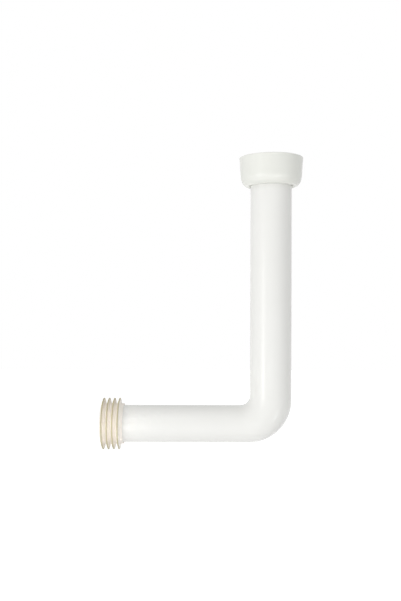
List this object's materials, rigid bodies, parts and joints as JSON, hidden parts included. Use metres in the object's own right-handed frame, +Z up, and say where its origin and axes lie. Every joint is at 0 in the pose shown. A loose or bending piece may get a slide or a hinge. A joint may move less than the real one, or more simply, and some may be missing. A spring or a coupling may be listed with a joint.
{
  "type": "flush pipe",
  "caption": "Bent plastic flush pipe for a low toilet cistern, with a threaded union nut and washer at its head and a finned rubber cone at its outlet.",
  "frame": {"origin": "on the riser's axis, at the inner end of the nut's thread, 0.4 mm above the washer", "axes": "+Z up along the riser and out of the nut's mouth, -X along the outlet leg towards the pan, Y across"},
  "size_m": [0.2443, 0.077, 0.3537],
  "materials": {
    "pipe_plastic": "smooth glossy white PVC",
    "washer_rubber": "plain black sealing rubber",
    "nut_plastic": "satin ivory-white moulded plastic",
    "cone_rubber": "satin cream rubber"
  },
  "bodies": {
    "pipe": {"flush_pipe": "pipe_plastic", "sealing_washer": "washer_rubber", "flush_cone": "cone_rubber"},
    "nut": {"coupling_nut": "nut_plastic"}
  },
  "joints": [
    {"name": "nut_turn", "type": "hinge", "parent": "pipe", "child": "nut", "pos_m": [0, 0, 0], "axis": [0, 0, 1], "continuous": true}
  ]
}
